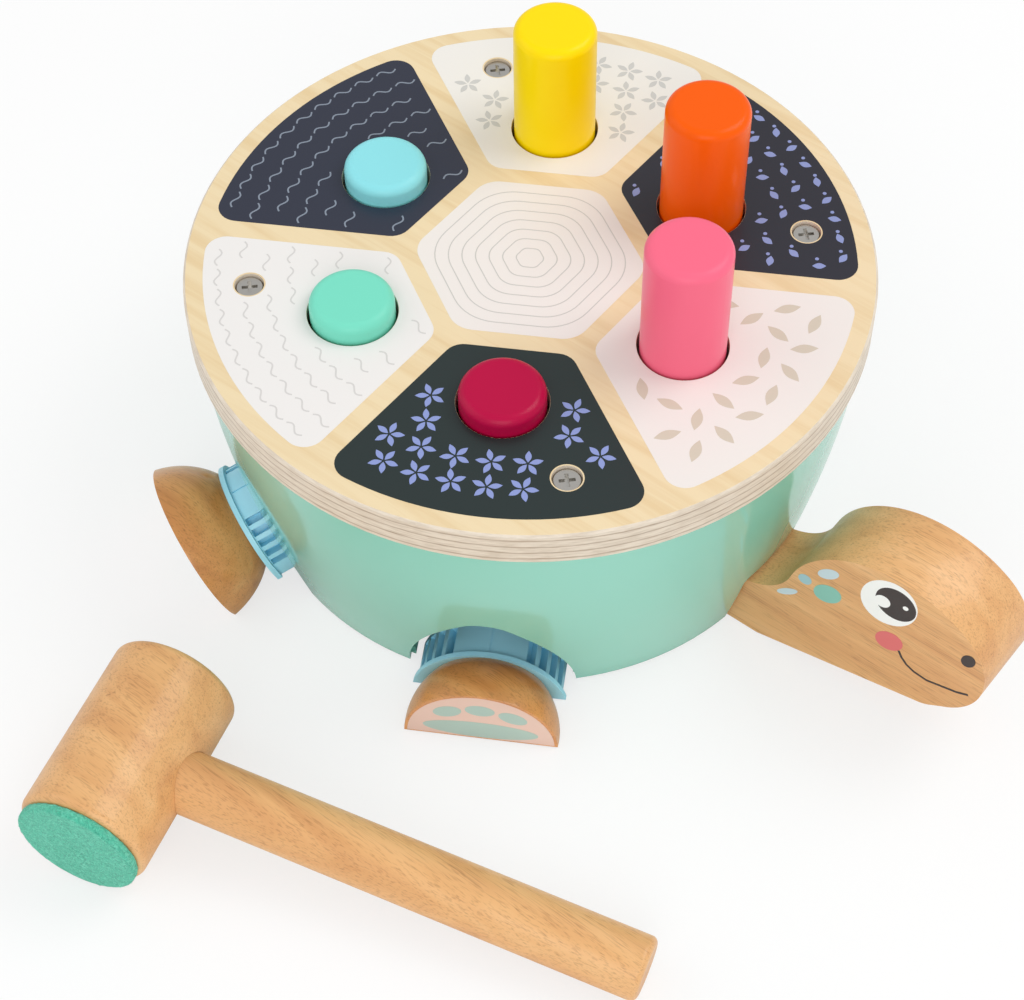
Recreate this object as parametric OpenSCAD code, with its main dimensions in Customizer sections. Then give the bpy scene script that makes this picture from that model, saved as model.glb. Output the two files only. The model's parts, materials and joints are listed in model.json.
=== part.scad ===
// Pounding bench in the form of a turtle: pounding one peg lifts the opposite peg,
// pushes the limb under it out of the shell and draws the opposite limb in.
// Origin: on the body's axis, on the floor. The head points along +X.

/* [Deck] */
// Diameter of the plywood deck
deck_d = 200; // [198:0.5:206]
// Thickness of the plywood deck
deck_t = 12; // [11:0.25:13]
// Height of the deck's top above the floor
deck_top = 92; // [91.5:0.25:94]
// Bevel round the deck's edges
deck_bevel = 0.7; // [0.3:0.1:1.2]
// Radius of the circle on which the deck's screws lie
deck_screw_r = 81; // [80:0.25:82]
// Turn of the deck's screws from the head's direction
deck_screw_turn = 45; // [43:0.5:46]

/* [Pegs] */
// Diameter of a peg
peg_d = 24.5; // [23:0.25:25]
// Length of a peg
peg_len = 62; // [61:0.25:62.5]
// Radius of the circle on which the pegs stand
peg_circle_r = 54.25; // [53.75:0.25:55]
// Height of a raised peg above the deck
peg_up = 40; // [39:0.25:40.5]
// Height of a pounded peg above the deck
peg_down = 6; // [5.5:0.25:7]
// Rounding of a peg's edges
peg_round = 2.8; // [2:0.2:4]
// Gap between a peg and its hole, all round
peg_gap = 0.85; // [0.5:0.05:0.95]

/* [Shell] */
// Radius of the bowl at its top
shell_top_r = 98.5; // [97:0.25:99]
// Radius of the bowl at its foot
shell_foot_r = 86; // [85.5:0.25:87]
// Bulge of the bowl's side between top and foot
shell_bulge = 2; // [1.5:0.25:3]
// Wall of the bowl
shell_wall = 2.6; // [2.2:0.1:3]
// Gap under the bowl's foot
shell_lift = 0.8; // [0.4:0.1:1.5]
// Width of the rim that carries the deck
rim_w = 6; // [5:0.25:7]
// Thickness of the rim
rim_t = 4; // [3:0.25:5]
// Width of a leg's arch at the floor
arch_w = 50; // [49:0.25:53]
// Height of a leg's arch
arch_h = 40.5; // [38:0.25:43]
// Radius of a leg's arch at its top
arch_top_r = 11; // [9:0.25:14]

/* [Base] */
// Thickness of the base plate
base_t = 3.5; // [3.25:0.05:3.75]
// Radius of the circle on which the base screws lie
base_screw_r = 76; // [75:0.25:77]

/* [Rockers] */
// Width of a rocker's arm
arm_w = 10; // [9:0.25:10.5]
// Thickness of a rocker's arm
arm_t = 6; // [5:0.1:6.2]
// Step in height from one rocker's pivot to the next
level_step = 13.5; // [13.3:0.1:14]
// Radius of the round pad under a peg
pad_r = 6; // [5.9:0.05:6.3]
// Reach of a rocker's tip from the body's axis, for all but the lowest rocker
tip_reach = 66; // [65.5:0.1:66.5]
// Radius of a rocker's tip
tip_r = 4; // [3.5:0.1:4.1]
// Diameter of a pivot pin
pin_d = 4; // [3:0.25:4.25]
// Radius of the circle on which the stand's posts lie
post_circle_r = 26; // [25.5:0.25:27.5]

/* [Slide bars] */
// Width of a slide bar
bar_w = 12; // [10:0.25:12.5]
// Thickness of a slide bar
bar_t = 4; // [3.5:0.1:4.1]
// Travel of a slide bar
bar_stroke = 12; // [11:0.25:12.5]
// Reach of a bar's tongue from the bar's middle
tongue_reach = 82; // [81.5:0.1:82.3]

/* [Legs] */
// Reach of a hub's flange from the bar's middle
flange_reach = 84; // [83.8:0.1:84.5]
// Radius of a front hub
front_hub_r = 22.3; // [22:0.1:22.6]
// Radius of a front hub's flange
front_flange_r = 23.5; // [23.2:0.1:24]
// Depth of a front hub's middle below the floor
front_hub_drop = 4.8; // [4.5:0.1:5.2]
// Radius of a rear hub
rear_hub_r = 19; // [18.8:0.1:19.3]
// Length of a hub
hub_len = 14; // [13.5:0.1:14.2]
// Radius of a rear hub's flange
rear_flange_r = 20.2; // [19.8:0.1:20.6]
// Thickness of a hub's flange
flange_t = 1.6; // [1:0.1:2]
// Lean of a rear leg, about its toe
rear_rake = 20; // [18:0.5:21]
// Height of a rear hub's middle above the leg's underside
rear_hub_rise = 4.5; // [4:0.1:5]
// Radius of a front foot's face
front_face_r = 22.7; // [22:0.1:23.2]
// Radius of a front foot where it meets the hub
front_neck_r = 18; // [17.5:0.1:18.5]
// Radius of a rear foot's face
rear_face_r = 25.5; // [25:0.1:25.8]
// Radius of a rear foot where it meets the hub
rear_neck_r = 14; // [13.8:0.1:14.5]
// Height of the middle of a rear foot's face above the leg's underside
rear_face_rise = 10.8; // [10.4:0.1:11.2]
// Depth of a foot from its face to the hub
foot_depth = 16.5; // [15.5:0.25:18]

/* [Head and tail] */
// Thickness of the head and tail boards
head_t = 24; // [22:0.25:25]
// Reach of the nose from the bar's middle
head_reach = 174.2; // [172:0.2:178]
// Height of the crown
head_h = 62.8; // [61:0.2:64]
// Height of the neck
neck_h = 22; // [21.5:0.1:23]
// Reach of the tail's tip from the bar's middle
tail_reach = 108; // [106:0.5:112]

/* [Mallet] */
// Diameter of the mallet's head
mallet_d = 38.5; // [37:0.25:42]
// Length of the mallet's wooden head
mallet_len = 57; // [50:0.5:62]
// Diameter of the mallet's handle
handle_d = 18.5; // [16:0.25:20]
// Reach of the handle from the middle of the head
handle_reach = 156.5; // [140:0.5:180]
// Thickness of the felt pad
felt_t = 3; // [2:0.25:5]
// Diameter of the felt pad
felt_d = 36; // [32:0.25:36]
// Place of the mallet's head, along the turtle's head
mallet_x = -13; // [-20:0.5:0]
// Place of the mallet's head, out to the turtle's right
mallet_out = 167; // [165:0.5:185]
// Turn of the handle from the turtle's head
mallet_turn = 15.3; // [10:0.1:20]

/* [Hidden] */
$fn = 96;

// Clearances, the overrun of every cut, and how far touching rounds are let into each other
run_gap = 0.3;
seat_gap = 0.1;
pad_gap = 0.4;
floor_gap = 0.4;
overrun = 1;
bite = 0.03;

// Directions of the six pegs and limbs, counted from the head
head_az = 0;
front_left_az = 60;
rear_left_az = 120;
tail_az = 180;
rear_right_az = 240;
front_right_az = 300;
limb_azs = [head_az, front_left_az, rear_left_az, tail_az, rear_right_az, front_right_az];
leg_azs = [front_left_az, rear_left_az, rear_right_az, front_right_az];
between_azs = [for (az = limb_azs) az + 30];
deck_screw_azs = [deck_screw_turn, -deck_screw_turn, 180 + deck_screw_turn, 180 - deck_screw_turn];

// Pegs and rockers: level 1 has the lowest pivot and its pads the highest above it
deck_under = deck_top - deck_t;
peg_stroke = peg_up - peg_down;
swing = asin(peg_stroke / 2 / peg_circle_r);
peg_foot_mid = deck_top + (peg_up + peg_down) / 2 - peg_len;
pad_w = arm_w + pad_r;
arm_drop = arm_t / 2;
tip_step = 2.6;
boss_wall = 2.5;
boss_r = pin_d / 2 + boss_wall;
boss_w = 12;
crank_in = 8;
crank_out = 44;
head_level = 1;
left_level = 0;
right_level = -1;
function pad_rise(level) = level * level_step;
function tip_rise(level) = pad_rise(level) - arm_drop;
function tip_out(level) = tip_reach + max(0, level) * tip_step;
function pivot_z(level) = peg_foot_mid - pad_gap - pad_r - max(pad_rise(level), pad_rise(level) * cos(swing));

// Slide bars in three tiers, and the ramps that the rockers' tips push
bar_clear = 1;
right_tier = 0;
left_tier = 1;
head_tier = 2;
function bar_z(tier) = base_t + bar_clear + tier * (bar_t + bar_clear);
ramp_t = 4;
ramp_steps = 12;
ramp_over = 2;
ramp_angles = [for (i = [0 : ramp_steps]) (swing + ramp_over) * (2 * i / ramp_steps - 1)];
function slid(a) = bar_stroke / 2 * a / swing;
function tip_x(a, level) = tip_out(level) * cos(a) + tip_rise(level) * sin(a) - slid(a);
function tip_z(a, level) = pivot_z(level) + tip_rise(level) * cos(a) - tip_out(level) * sin(a);
function tip_at(a, level) = [tip_x(a, level), tip_z(a, level)];
function ramp_run(a, level) = tip_at(a + 1, level) - tip_at(a - 1, level);
function outward(run) = [-run.y, run.x] / norm(run);
function ramp_point(a, level, off) = tip_at(a, level) + outward(ramp_run(a, level)) * off;

// Guides on the base
guide_in = 34;
guide_len = 11.5;
guide_wall = 3;
guide_w = bar_w + 2 * (run_gap + guide_wall);
cap_t = 2.4;

// Stand
post_w = 7;
post_depth = 8;
crown_t = 4;
crown_gap = 2.5;
crown_inset = 1;
crown_z = pivot_z(right_level) + boss_r + crown_gap;
pin_over = 1;
pin_len = 2 * post_circle_r + post_depth + 2 * pin_over;

// Screws
screw_d = 3;
screw_head_d = 6;
screw_head_t = 1.4;
screw_bury = 0.4;
screw_reach = 10;
screw_tip = 2;
deck_screw_d = 3.6;
deck_screw_head_d = 7.4;
deck_screw_head_t = 2.2;
deck_recess_d = 8.6;
deck_recess = 3.2;
deck_screw_len = 30;
cross_w = 1.1;
cross_len_share = 0.62;
cross_depth_share = 0.6;
deck_boss_r = 5;
deck_boss_len = 30;
base_boss_r = 4.5;
base_boss_h = 13;
rib_t = 3;

// Shell: one round sweep from top to foot
shell_h = deck_under - shell_lift;
bowl_chord = norm([shell_top_r - shell_foot_r, shell_h]);
bowl_r = (bowl_chord * bowl_chord / 4 + shell_bulge * shell_bulge) / (2 * shell_bulge);
bowl_lean = atan2(shell_top_r - shell_foot_r, shell_h);
bowl_mid = [(shell_top_r + shell_foot_r) / 2, shell_lift + shell_h / 2];
bowl_centre = bowl_mid - (bowl_r - shell_bulge) * [cos(bowl_lean), -sin(bowl_lean)];
bowl_fn = 720;
arch_top_z = arch_h - arch_top_r;
arch_room = (arch_top_z * arch_top_z + arch_w * arch_w / 4 - arch_top_r * arch_top_r) / 2;
arch_side_r = arch_room / (arch_w / 2 - arch_top_r);
arch_shoulder = arch_side_r * arch_top_z / (arch_side_r - arch_top_r);
door_gap = 1.4;
door_room = 2;
door_corner = 2.4;
base_r = shell_foot_r - shell_wall - run_gap;
notch_gap = 1;

// Hubs and feet
hub_back = flange_reach - hub_len;
front_pockets = 4;
rear_pockets = 5;
pocket_pitch = 11.5;
pocket_first = 27;
pocket_rib = 0.8;
pocket_depth = 3.4;
pocket_rim = 1.4;
pocket_end = 0.3;
parting_w = 0.5;
parting_depth = 0.35;
limb_screw_in = 4;
foot_screw_side = 12;
front_screw_up = 5;
foot_screw_len = 8;
leg_notch_in = hub_back - bar_stroke / 2 - screw_head_t - notch_gap;
leg_notch_w = 2 * (front_face_r + notch_gap);
toe_reach = flange_reach + foot_depth;
lug_wall = 2;

// Head and tail outline: radius, distance in from the nose, and height of each round
crown_r = 35.4;
crown_in = 29.9;
nose_r = 22.4;
chin_r = 12;
chin_in = 21.2;
chin_up = 26;
dip_r = 20;
heel_r = 1.5;
jaw_reach = 101.5;
heel_reach = 90;
neck_back = 75.5;
tail_tip_r = 6;
tail_root_r = 10;
tail_root_reach = 92;
tail_tip_up = 8;
crown = [head_reach - crown_in, head_h - crown_r];
nose_room = crown_r - nose_r;
nose_ahead = head_reach - nose_r - crown.x;
nose = crown + [nose_ahead, sqrt(nose_room * nose_room - nose_ahead * nose_ahead)];
chin = [head_reach - chin_in, chin_up];
jaw = [jaw_reach, floor_gap + heel_r];
heel = [heel_reach, floor_gap + heel_r];
dip_rise = neck_h + dip_r - crown.y;
dip = crown + [-sqrt((crown_r + dip_r) * (crown_r + dip_r) - dip_rise * dip_rise), dip_rise];
nape = crown + (dip - crown) * crown_r / (crown_r + dip_r);
head_notch_in = neck_back - bar_stroke / 2 - notch_gap;
door_w = head_t + 2 * door_gap;
door_h = neck_h + door_room;

// Mallet
mallet_round = 2.5;
handle_round = 2;
handle_in = 12;
handle_dip = asin((mallet_d - handle_d) / 2 / handle_reach);

// Round bar about Z with rounded edges
module rounded_bar(r, len, edge) {
  rotate_extrude() {
    square([r - edge, len]);
    translate([0, edge]) square([r, len - 2 * edge]);
    for (z = [edge, len - edge]) translate([r - edge, z]) circle(edge);
  }
}

// Round bar along X
module bar_x(r, from, to) {
  translate([from, 0, 0]) rotate([0, 90, 0]) cylinder(r = r, h = to - from);
}

// Flat shape between two rounds, with straight flanks that touch both
module band(c, cr, d, dr) {
  turn = atan2(d.y - c.y, d.x - c.x);
  open = acos((cr - dr) / norm(d - c));
  up = [cos(turn + open), sin(turn + open)];
  low = [cos(turn - open), sin(turn - open)];
  cf = cr - bite;
  df = dr - bite;
  translate(c) circle(cr);
  translate(d) circle(dr);
  polygon([c + cf * up, c + cf * low, d + df * low, d + df * up]);
}

// Flat shape drawn in X and height, made into a board of the given thickness
module board(t) {
  rotate([90, 0, 0]) linear_extrude(t, center = true) children();
}

// Small screw, pointing up from its head's underside at the origin
module screw(len) {
  difference() {
    translate([0, 0, -screw_head_t]) cylinder(d = screw_head_d, h = screw_head_t);
    for (turn = [0, 90]) rotate([0, 0, turn]) cross_slot(screw_head_d, screw_head_t, -screw_head_t);
  }
  cylinder(d = screw_d, h = len);
}

module cross_slot(head_d, head_t, z) {
  slot_l = head_d * cross_len_share;
  slot_h = head_t * cross_depth_share;
  translate([-slot_l / 2, -cross_w / 2, z - overrun]) cube([slot_l, cross_w, slot_h + overrun]);
}

// Bore and head recess for a small screw that starts at the given height
module screw_cut(z, len) {
  translate([0, 0, -overrun]) cylinder(d = screw_head_d + 2 * run_gap, h = z + overrun);
  cylinder(d = screw_d + 2 * seat_gap, h = z + len + seat_gap);
}

module deck() {
  r = deck_d / 2;
  b = deck_bevel;
  color("BurlyWood") difference() {
    translate([0, 0, deck_under]) rotate_extrude()
      polygon([[0, 0], [r - b, 0], [r, b], [r, deck_t - b], [r - b, deck_t], [0, deck_t]]);
    for (az = limb_azs) rotate([0, 0, az]) translate([peg_circle_r, 0, deck_under - overrun])
      cylinder(r = peg_d / 2 + peg_gap, h = deck_t + 2 * overrun);
    for (az = deck_screw_azs) rotate([0, 0, az]) translate([deck_screw_r, 0, 0]) {
      translate([0, 0, deck_under - overrun])
        cylinder(d = deck_screw_d + 2 * run_gap, h = deck_t + 2 * overrun);
      translate([0, 0, deck_top - deck_recess]) cylinder(d = deck_recess_d, h = deck_recess + overrun);
    }
  }
}

module deck_screws() {
  color("Silver") for (az = deck_screw_azs) rotate([0, 0, az])
    translate([deck_screw_r, 0, deck_top - deck_recess]) {
      difference() {
        cylinder(d = deck_screw_head_d, h = deck_screw_head_t);
        for (turn = [0, 90]) rotate([0, 0, turn]) translate([0, 0, deck_screw_head_t]) rotate([180, 0, 0])
          cross_slot(deck_screw_head_d, deck_screw_head_t, 0);
      }
      translate([0, 0, -deck_screw_len]) cylinder(d = deck_screw_d, h = deck_screw_len);
    }
}

// Half section of the bowl, drawn in by the given amount
module bowl_area(in) {
  intersection() {
    translate(bowl_centre) circle(bowl_r - in, $fn = bowl_fn);
    translate([0, shell_lift]) square([shell_top_r + overrun, shell_h]);
  }
}

module bowl_wall() {
  rotate_extrude() difference() {
    bowl_area(0);
    intersection() {
      translate(bowl_centre) circle(bowl_r - shell_wall, $fn = bowl_fn);
      translate([0, shell_lift - overrun]) square([shell_top_r, shell_h + 2 * overrun]);
    }
  }
  rotate_extrude() intersection() {
    bowl_area(0);
    translate([shell_top_r - rim_w, deck_under - rim_t]) square([rim_w + overrun, rim_t]);
  }
}

module shell_bosses() {
  intersection() {
    rotate_extrude() bowl_area(shell_wall / 2);
    union() {
      for (az = deck_screw_azs) rotate([0, 0, az]) translate([deck_screw_r, 0, deck_under - deck_boss_len]) {
        cylinder(r = deck_boss_r, h = deck_boss_len);
        translate([0, -rib_t / 2, 0]) cube([shell_top_r - deck_screw_r, rib_t, deck_boss_len]);
      }
      for (az = between_azs) rotate([0, 0, az]) translate([base_screw_r, 0, base_t]) {
        cylinder(r = base_boss_r, h = base_boss_h);
        translate([0, -rib_t / 2, 0]) cube([shell_top_r - base_screw_r, rib_t, base_boss_h]);
      }
    }
  }
}

// Arch drawn in width and height: two wide side rounds closed by a small round at the top
module arch_area() {
  side = arch_side_r - arch_w / 2;
  intersection() {
    translate([side, 0]) circle(arch_side_r);
    translate([-side, 0]) circle(arch_side_r);
    union() {
      translate([-arch_w / 2, -overrun]) square([arch_w, arch_shoulder + overrun]);
      translate([0, arch_top_z]) circle(arch_top_r + bite);
    }
  }
}

module leg_arch() {
  translate([leg_notch_in, 0, 0]) rotate([90, 0, 90]) linear_extrude(deck_d / 2 - leg_notch_in) arch_area();
}

module neck_door() {
  span = deck_d / 2 - head_notch_in;
  translate([head_notch_in, -door_w / 2, -overrun]) cube([span, door_w, door_h - door_corner + overrun]);
  translate([head_notch_in, -door_w / 2 + door_corner, 0]) cube([span, door_w - 2 * door_corner, door_h]);
  for (side = [-1, 1]) translate([0, side * (door_w / 2 - door_corner), door_h - door_corner])
    bar_x(door_corner, head_notch_in, deck_d / 2);
}

module shell() {
  color("MediumAquamarine") difference() {
    union() {
      bowl_wall();
      shell_bosses();
    }
    for (az = leg_azs) rotate([0, 0, az]) leg_arch();
    for (az = [head_az, tail_az]) rotate([0, 0, az]) neck_door();
    for (az = deck_screw_azs) rotate([0, 0, az])
      translate([deck_screw_r, 0, deck_top - deck_recess - deck_screw_len - overrun])
        cylinder(d = deck_screw_d + 2 * seat_gap, h = deck_screw_len);
    for (az = between_azs) rotate([0, 0, az]) translate([base_screw_r, 0, 0])
      screw_cut(screw_bury + screw_head_t, screw_reach);
  }
}

module guide(tier) {
  z = bar_z(tier);
  difference() {
    translate([guide_in, -guide_w / 2, 0]) cube([guide_len, guide_w, z + bar_t + run_gap]);
    translate([guide_in - overrun, -bar_w / 2 - run_gap, z - run_gap])
      cube([guide_len + 2 * overrun, bar_w + 2 * run_gap, bar_t + 2 * run_gap + overrun]);
  }
}

module each_guide() {
  for (az = [head_az, tail_az]) rotate([0, 0, az]) children(0);
  for (az = [front_left_az, rear_right_az]) rotate([0, 0, az]) children(1);
  for (az = [rear_left_az, front_right_az]) rotate([0, 0, az]) children(2);
}

module base_plate() {
  color("DarkSeaGreen") difference() {
    union() {
      cylinder(r = base_r, h = base_t);
      each_guide() {
        guide(head_tier);
        guide(left_tier);
        guide(right_tier);
      }
    }
    for (az = leg_azs) rotate([0, 0, az]) translate([leg_notch_in, -leg_notch_w / 2, -overrun])
      cube([base_r, leg_notch_w, base_t + 2 * overrun]);
    for (az = [head_az, tail_az]) rotate([0, 0, az]) translate([head_notch_in, -door_w / 2, -overrun])
      cube([base_r, door_w, base_t + 2 * overrun]);
    for (az = between_azs) rotate([0, 0, az]) {
      translate([base_screw_r, 0, 0]) screw_cut(screw_bury + screw_head_t, screw_reach);
      translate([post_circle_r, 0, 0]) screw_cut(screw_bury + screw_head_t, screw_reach);
    }
  }
}

module base_screws() {
  color("Silver") for (az = between_azs) rotate([0, 0, az])
    translate([base_screw_r, 0, screw_bury + screw_head_t]) screw(screw_reach);
}

module stand_screws() {
  color("Silver") for (az = between_azs) rotate([0, 0, az])
    translate([post_circle_r, 0, screw_bury + screw_head_t]) screw(screw_reach);
}

module guide_cap(tier) {
  translate([guide_in, -guide_w / 2, bar_z(tier) + bar_t + run_gap]) cube([guide_len, guide_w, cap_t]);
}

module guide_caps() {
  color("SteelBlue") each_guide() {
    guide_cap(head_tier);
    guide_cap(left_tier);
    guide_cap(right_tier);
  }
}

// Pin along Y through the body's axis, before its turn
module pin_shape(level, d, len) {
  translate([0, 0, pivot_z(level)]) rotate([90, 0, 0]) cylinder(d = d, h = len, center = true);
}

module rocker_stand() {
  bore_d = pin_d + 2 * seat_gap;
  bore_l = pin_len + 2 * overrun;
  color("SteelBlue") difference() {
    union() {
      for (az = between_azs) rotate([0, 0, az])
        translate([post_circle_r - post_depth / 2, -post_w / 2, base_t])
          cube([post_depth, post_w, crown_z + crown_t - base_t]);
      translate([0, 0, crown_z]) difference() {
        cylinder(r = post_circle_r + post_depth / 2 - crown_inset, h = crown_t);
        translate([0, 0, -overrun])
          cylinder(r = post_circle_r - post_depth / 2 + crown_inset, h = crown_t + 2 * overrun);
      }
    }
    rotate([0, 0, head_az]) pin_shape(head_level, bore_d, bore_l);
    rotate([0, 0, front_left_az]) pin_shape(left_level, bore_d, bore_l);
    rotate([0, 0, rear_left_az]) pin_shape(right_level, bore_d, bore_l);
    for (az = between_azs) rotate([0, 0, az]) translate([post_circle_r, 0, 0])
      screw_cut(screw_bury + screw_head_t, screw_reach);
  }
}

module head_pivot_pin() {
  color("Silver") rotate([0, 0, tail_az]) pin_shape(head_level, pin_d, pin_len);
}

module left_pivot_pin() {
  color("Silver") rotate([0, 0, rear_right_az]) pin_shape(left_level, pin_d, pin_len);
}

module right_pivot_pin() {
  color("Silver") rotate([0, 0, front_right_az]) pin_shape(right_level, pin_d, pin_len);
}

// One arm of a rocker: cranked strip, round pad under the peg, round tip at the ramp
module arm(level) {
  rise = tip_rise(level);
  reach = tip_out(level);
  half = arm_t / 2;
  board(arm_w) polygon([[0, -half], [crank_in, -half], [crank_out, rise - half], [reach, rise - half],
    [reach, rise + half], [crank_out, rise + half], [crank_in, half], [0, half]]);
  translate([peg_circle_r, 0, pad_rise(level)]) rotate([90, 0, 0])
    cylinder(r = pad_r, h = pad_w, center = true);
  translate([reach, 0, rise]) rotate([90, 0, 0]) cylinder(r = tip_r, h = bar_w, center = true);
}

// Rocker at rest: the arm along +X is down
module rocker(level) {
  translate([0, 0, pivot_z(level)]) rotate([0, swing, 0]) difference() {
    union() {
      rotate([90, 0, 0]) cylinder(r = boss_r, h = boss_w, center = true);
      for (side = [0, 180]) rotate([0, 0, side]) arm(level);
    }
    rotate([90, 0, 0]) cylinder(d = pin_d + 2 * run_gap, h = boss_w + 2 * overrun, center = true);
  }
}

module head_rocker() {
  color("LightSteelBlue") rotate([0, 0, tail_az]) rocker(head_level);
}

module left_rocker() {
  color("LightSteelBlue") rotate([0, 0, rear_right_az]) rocker(left_level);
}

module right_rocker() {
  color("LightSteelBlue") rotate([0, 0, front_right_az]) rocker(right_level);
}

// Ramp that follows the path of a rocker's tip as the bar slides
module ramp(tier, level) {
  near = [for (a = ramp_angles) ramp_point(a, level, tip_r + run_gap)];
  far = [for (i = [ramp_steps : -1 : 0]) ramp_point(ramp_angles[i], level, tip_r + run_gap + ramp_t)];
  foot = [[near[ramp_steps].x, bar_z(tier)], [far[0].x, bar_z(tier)]];
  board(bar_w) polygon(concat(near, foot, far));
}

// Hollow in the top bar for the tip of its rocker at its lowest
module tip_seat(level) {
  translate([tip_x(swing, level), 0, tip_z(swing, level)]) rotate([90, 0, 0])
    cylinder(r = tip_r + 2 * run_gap, h = bar_w + 2 * overrun, center = true);
}

// Slide bar in its middle place, with the screw bores of its two limbs
module bar(tier, level, screw_in) {
  difference() {
    union() {
      translate([-tongue_reach, -bar_w / 2, bar_z(tier)]) cube([2 * tongue_reach, bar_w, bar_t]);
      for (side = [0, 180]) rotate([0, 0, side]) ramp(tier, level);
    }
    for (side = [-1, 1]) translate([side * screw_in, 0, bar_z(tier) - overrun])
      cylinder(d = screw_d + 2 * seat_gap, h = bar_t + 2 * overrun);
  }
}

// Places for what rides a bar at rest: out on the pounded side, in on the other
module limb_out(az) {
  rotate([0, 0, az]) translate([bar_stroke / 2, 0, 0]) children();
}

module limb_in(az) {
  rotate([0, 0, az]) translate([-bar_stroke / 2, 0, 0]) children();
}

module head_bar() {
  color("SteelBlue") limb_out(tail_az) difference() {
    bar(head_tier, head_level, neck_back + limb_screw_in);
    for (side = [0, 180]) rotate([0, 0, side]) tip_seat(head_level);
  }
}

module left_bar() {
  color("SteelBlue") limb_out(rear_right_az) bar(left_tier, left_level, hub_back + limb_screw_in);
}

module right_bar() {
  color("SteelBlue") limb_out(front_right_az) bar(right_tier, right_level, hub_back + limb_screw_in);
}

// Length of a limb's screw, from its head to past the bar's tongue
function limb_screw_len(tier) = bar_z(tier) + bar_t + screw_tip - floor_gap - screw_bury - screw_head_t;

module limb_screws(tier, screw_in) {
  for (side = [-1, 1]) translate([side * screw_in, 0, floor_gap + screw_bury + screw_head_t])
    screw(limb_screw_len(tier));
}

module head_bar_screws() {
  color("Silver") limb_out(tail_az) limb_screws(head_tier, neck_back + limb_screw_in);
}

module left_bar_screws() {
  color("Silver") limb_out(rear_right_az) limb_screws(left_tier, hub_back + limb_screw_in);
}

module right_bar_screws() {
  color("Silver") limb_out(front_right_az) limb_screws(right_tier, hub_back + limb_screw_in);
}

// Cuts in a limb for the bar's tongue and its screw
module tongue_cut(tier, limb_back) {
  translate([limb_back - overrun, -bar_w / 2 - seat_gap, bar_z(tier) - seat_gap])
    cube([tongue_reach + seat_gap - limb_back + overrun, bar_w + 2 * seat_gap, bar_t + 2 * seat_gap]);
  translate([limb_back + limb_screw_in, 0, floor_gap])
    screw_cut(screw_bury + screw_head_t, limb_screw_len(tier));
}

// Round bar along X with its middle at the given height, cut off at the floor
module floor_round(r, from, to, rise) {
  intersection() {
    translate([0, 0, rise]) bar_x(r, from, to);
    translate([from - overrun, -r - overrun, floor_gap])
      cube([to - from + 2 * overrun, 2 * (r + overrun), rise + r + overrun]);
  }
}

module foot_screw_places(up) {
  for (side = [-1, 1]) translate([hub_back, side * foot_screw_side, up]) rotate([0, 90, 0]) children();
}

// Rear legs lean about the toe, and what is tilted keeps its place on the leg
module leg_tilt(rake) {
  translate([toe_reach, 0, floor_gap]) rotate([0, rake, 0]) translate([-toe_reach, 0, -floor_gap]) children();
}

module hub_body(r, lip_r, rise, pockets, screw_up) {
  pocket_w = (r - pocket_depth) * pocket_pitch * PI / 180 - pocket_rib;
  pad_l = hub_len - flange_t - pocket_rim - pocket_end;
  difference() {
    union() {
      floor_round(r, hub_back, flange_reach, rise);
      floor_round(lip_r, flange_reach - flange_t, flange_reach, rise);
    }
    for (side = [-1, 1], i = [0 : pockets - 1])
      translate([hub_back + pocket_rim, 0, rise])
        rotate([side * (pocket_first + (i + 1 / 2) * pocket_pitch), 0, 0])
          translate([0, -pocket_w / 2, r - pocket_depth]) cube([pad_l, pocket_w, pocket_depth + overrun]);
    translate([hub_back + pocket_rim, -parting_w / 2, rise + r - parting_depth])
      cube([pad_l, parting_w, parting_depth + overrun]);
    foot_screw_places(screw_up) translate([0, 0, -overrun])
      cylinder(d = screw_d + 2 * seat_gap, h = hub_len + 2 * overrun);
  }
}

// Block under a leaning hub that takes the bar's tongue
module hub_lug(tier) {
  lug_w = bar_w + 2 * lug_wall;
  translate([hub_back, -lug_w / 2, floor_gap])
    cube([flange_reach - flange_t - hub_back, lug_w, bar_z(tier) + bar_t + lug_wall - floor_gap]);
}

module front_hub(tier) {
  difference() {
    hub_body(front_hub_r, front_flange_r, -front_hub_drop, front_pockets, front_screw_up);
    tongue_cut(tier, hub_back);
  }
}

module rear_hub(tier) {
  difference() {
    union() {
      leg_tilt(rear_rake)
        hub_body(rear_hub_r, rear_flange_r, rear_hub_rise, rear_pockets, rear_face_rise);
      hub_lug(tier);
    }
    tongue_cut(tier, hub_back);
  }
}

module front_right_hub() {
  color("RoyalBlue") limb_out(front_right_az) front_hub(right_tier);
}

module rear_right_hub() {
  color("RoyalBlue") limb_out(rear_right_az) rear_hub(left_tier);
}

module front_left_hub() {
  color("RoyalBlue") limb_in(front_left_az) front_hub(left_tier);
}

module rear_left_hub() {
  color("RoyalBlue") limb_in(rear_left_az) rear_hub(right_tier);
}

// Foot: part of a ball between the hub's plane, the leg's underside and the foot's own face.
// The ball stays upright when the leg leans.
module foot(face_r, neck_r, rise, rake, screw_up) {
  set_in = (foot_depth * foot_depth + neck_r * neck_r - face_r * face_r) / (2 * foot_depth);
  ball_r = norm([face_r, set_in]);
  difference() {
    intersection() {
      translate([toe_reach - set_in, 0, rise]) rotate([0, -rake, 0]) sphere(ball_r);
      translate([flange_reach, -ball_r - overrun, floor_gap])
        cube([foot_depth, 2 * (ball_r + overrun), rise + ball_r + overrun]);
    }
    foot_screw_places(screw_up) cylinder(d = screw_d + 2 * seat_gap, h = hub_len + foot_screw_len + seat_gap);
  }
}

module front_foot() {
  foot(front_face_r, front_neck_r, 0, 0, front_screw_up);
}

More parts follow.
